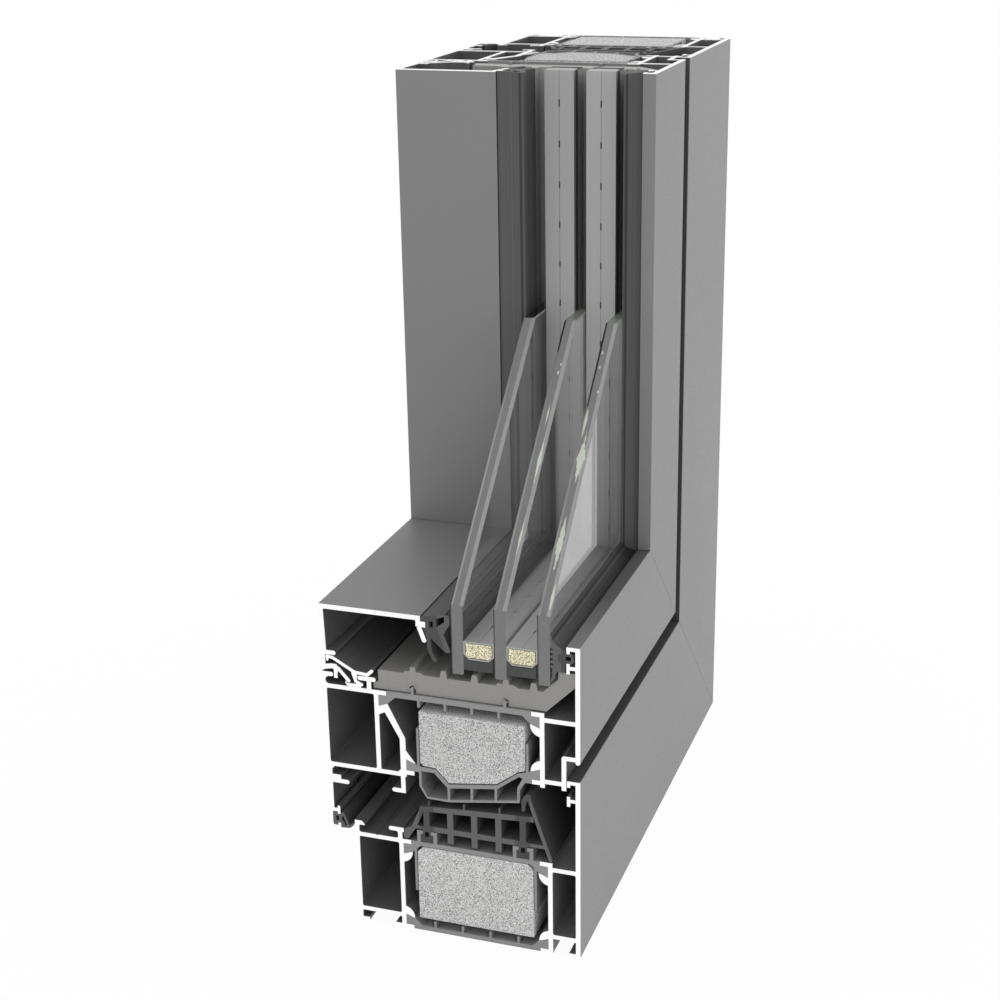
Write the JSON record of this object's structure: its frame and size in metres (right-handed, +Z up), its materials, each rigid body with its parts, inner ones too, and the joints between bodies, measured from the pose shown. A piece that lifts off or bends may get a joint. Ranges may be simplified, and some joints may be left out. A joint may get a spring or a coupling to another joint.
{
  "type": "window frame profile section",
  "caption": "Cut-away corner of a thermally broken aluminium window: frame and sash profiles with foam cores, gaskets, glazing bead and a triple glass unit, mitred at the corner",
  "frame": {"origin": "Bottom centre of the box round the whole corner.", "axes": "+X points to the weather side, +Y runs along the sill from its cut end to the jamb, +Z runs up the jamb."},
  "size_m": [0.086, 0.193, 0.269],
  "materials": {
    "painted_aluminium": "fine matt powder coat in mid grey, cut ends bare and bright",
    "mill_aluminium": "mill finish extrusion",
    "polyamide": "extruded glass-fibre reinforced polyamide, matt dark grey",
    "foam": "closed-cell foam with a fine light and dark speckle",
    "bridge_plastic": "smooth warm grey hard plastic",
    "gasket_rubber": "extruded rubber, matt dark grey",
    "glass": "clear float glass with ground grey edges",
    "spacer_metal": "satin roll-formed strip with a row of short slots",
    "desiccant_grains": "fine cream beads",
    "edge_sealant": "dull dark grey poured seal"
  },
  "bodies": {
    "root": {"frame_inner_sill": "painted_aluminium", "frame_inner_jamb": "painted_aluminium", "frame_outer_sill": "painted_aluminium", "frame_outer_jamb": "painted_aluminium", "sash_inner_sill": "painted_aluminium", "sash_inner_jamb": "painted_aluminium", "sash_outer_sill": "painted_aluminium", "sash_outer_jamb": "painted_aluminium", "glazing_bead_sill": "painted_aluminium", "glazing_bead_jamb": "painted_aluminium", "bead_clip_sill": "mill_aluminium", "bead_clip_jamb": "mill_aluminium", "frame_bar_upper_sill": "polyamide", "frame_bar_upper_jamb": "polyamide", "frame_bar_lower_sill": "polyamide", "frame_bar_lower_jamb": "polyamide", "sash_bar_upper_sill": "polyamide", "sash_bar_upper_jamb": "polyamide", "sash_bar_chambered_sill": "polyamide", "sash_bar_chambered_jamb": "polyamide", "frame_foam_sill": "foam", "frame_foam_jamb": "foam", "sash_foam_sill": "foam", "sash_foam_jamb": "foam", "glazing_bridge_sill": "bridge_plastic", "glazing_bridge_jamb": "bridge_plastic", "inner_gasket_sill": "gasket_rubber", "inner_gasket_jamb": "gasket_rubber", "outer_gasket_sill": "gasket_rubber", "outer_gasket_jamb": "gasket_rubber", "centre_gasket_sill": "gasket_rubber", "centre_gasket_jamb": "gasket_rubber", "stop_gasket_sill": "gasket_rubber", "stop_gasket_jamb": "gasket_rubber", "pane_inner": "glass", "pane_middle": "glass", "pane_outer": "glass", "spacer_inner": "spacer_metal", "desiccant_inner": "desiccant_grains", "sealant_inner": "edge_sealant", "spacer_outer": "spacer_metal", "desiccant_outer": "desiccant_grains", "sealant_outer": "edge_sealant"}
  },
  "joints": []
}
